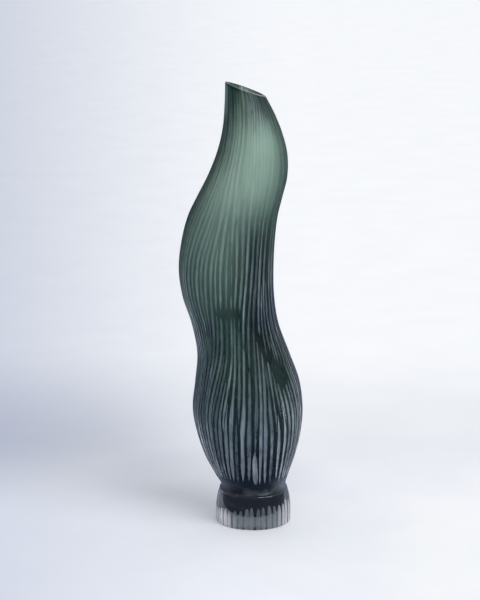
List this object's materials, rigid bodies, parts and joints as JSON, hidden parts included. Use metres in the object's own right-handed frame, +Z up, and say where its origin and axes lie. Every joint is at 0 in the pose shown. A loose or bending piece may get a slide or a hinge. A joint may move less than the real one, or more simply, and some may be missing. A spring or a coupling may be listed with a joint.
{
  "type": "vase",
  "caption": "Tall sinuous carved glass vase: fluted hollow body with a slanting open mouth, hot-joined to a round cased glass foot.",
  "frame": {"origin": "middle of the foot's flat polished underside, on the surface the vase stands on", "axes": "+Z up, +X to the right of the front view, so the upper body sways towards -X and the cut mouth falls towards +X; +Y away from the front"},
  "size_m": [0.1552, 0.1388, 0.559],
  "materials": {
    "green_glass": "satin, wheel-carved; flutes frosted pale, ridges and waist left smooth and dark; rim polished",
    "dark_glass": "smooth, near black, seen through the clear casing",
    "clear_glass": "clear glass with frosted flutes round its lower half and a polished flat underside"
  },
  "bodies": {
    "root": {"vase_body": "green_glass", "foot_core": "dark_glass", "foot_casing": "clear_glass"}
  },
  "joints": []
}
